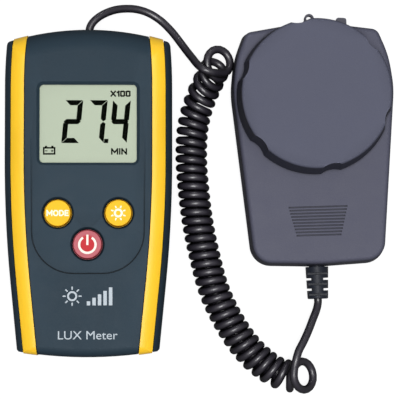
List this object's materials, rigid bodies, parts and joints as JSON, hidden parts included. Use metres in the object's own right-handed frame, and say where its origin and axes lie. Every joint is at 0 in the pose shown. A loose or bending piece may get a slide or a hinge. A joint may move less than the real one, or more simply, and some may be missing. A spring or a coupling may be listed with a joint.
{
  "type": "light meter",
  "caption": "Handheld digital light meter with yellow side bands, joined by a coiled cord to a separate light sensor head with a round lift-off cap.",
  "frame": {"origin": "centre of the meter's flat back face, which rests on the bench", "axes": "+Z out of the display, +Y towards the meter's top end where the cord leaves, +X from the meter towards the sensor head"},
  "size_m": [0.1558, 0.1569, 0.032],
  "materials": {
    "case_plastic": "fine moulded texture",
    "yellow_band": "satin soft-touch",
    "label_plate": "satin, plain",
    "clear_window": "polished, clear",
    "lcd": "grey-green reflective display",
    "light_guide": "frosted",
    "zebra_rubber": "layered",
    "white_frame": "satin",
    "circuit_board": "solder mask",
    "chip_body": "matt",
    "tinned_metal": "tinned",
    "capacitor_can": "sleeved can",
    "blue_trimmer": "satin",
    "silicone": "matt",
    "yellow_button": "satin",
    "red_button": "satin",
    "battery_can": "printed steel sleeve, plain",
    "black_plastic": "fine texture",
    "wire_red": "insulated",
    "screw_steel": "zinc plated",
    "white_plastic": "satin",
    "cord_rubber": "satin",
    "boot_rubber": "satin",
    "head_plastic": "fine moulded texture",
    "cap_plastic": "fine moulded texture",
    "diffuser_white": "opal",
    "filter_glass": "tinted, polished"
  },
  "bodies": {
    "meter": {"front_case": "case_plastic", "rear_case": "case_plastic", "left_side_band": "yellow_band", "right_side_band": "yellow_band", "rear_label": "label_plate", "display_window": "clear_window", "lcd_panel": "lcd", "backlight_panel": "light_guide", "zebra_strips": "zebra_rubber", "display_frame": "white_frame", "main_board": "circuit_board", "controller_chip": "chip_body", "chip_leads": "tinned_metal", "capacitors": "capacitor_can", "crystal": "tinned_metal", "calibration_trimmers": "blue_trimmer", "keypad_mat": "silicone", "snap_domes": "tinned_metal", "battery": "battery_can", "battery_terminals": "tinned_metal", "battery_snap": "black_plastic", "battery_leads": "wire_red", "case_screws": "screw_steel", "board_screws": "screw_steel", "cord_connector": "white_plastic", "cord_grommet": "cord_rubber", "cord_lead_meter": "cord_rubber", "coiled_cord": "cord_rubber"},
    "mode_key": {"mode_button": "yellow_button"},
    "backlight_key": {"backlight_button": "yellow_button"},
    "power_key": {"power_button": "red_button"},
    "door": {"battery_door": "case_plastic"},
    "head": {"sensor_front_case": "head_plastic", "sensor_rear_case": "head_plastic", "strain_relief_boot": "boot_rubber", "cord_lead_sensor": "cord_rubber", "diffuser_dome": "diffuser_white", "diffuser_ring": "black_plastic", "optical_filter": "filter_glass", "photodiode": "chip_body", "sensor_board": "circuit_board", "sensor_connector": "white_plastic", "sensor_screws": "screw_steel", "lanyard_bracket": "head_plastic"},
    "cap": {"sensor_cap": "cap_plastic"}
  },
  "joints": [
    {"name": "mode_press", "type": "slide", "parent": "meter", "child": "mode_key", "axis": [0, 0, -1], "range_m": [0, 0.0009], "stiffness_N_per_m": 400},
    {"name": "backlight_press", "type": "slide", "parent": "meter", "child": "backlight_key", "axis": [0, 0, -1], "range_m": [0, 0.0009], "stiffness_N_per_m": 400},
    {"name": "power_press", "type": "slide", "parent": "meter", "child": "power_key", "axis": [0, 0, -1], "range_m": [0, 0.0009], "stiffness_N_per_m": 400},
    {"name": "door_slide", "type": "slide", "parent": "meter", "child": "door", "axis": [0, -1, 0], "range_m": [0, 0.058]},
    {"name": "head_pull", "type": "slide", "parent": "meter", "child": "head", "axis": [0, -1, 0], "range_m": [0, 0.3], "stiffness_N_per_m": 12, "deforming": ["coiled_cord"]},
    {"name": "cap_lift", "type": "slide", "parent": "head", "child": "cap", "axis": [0, 0, 1], "range_m": [0, 0.03]}
  ]
}
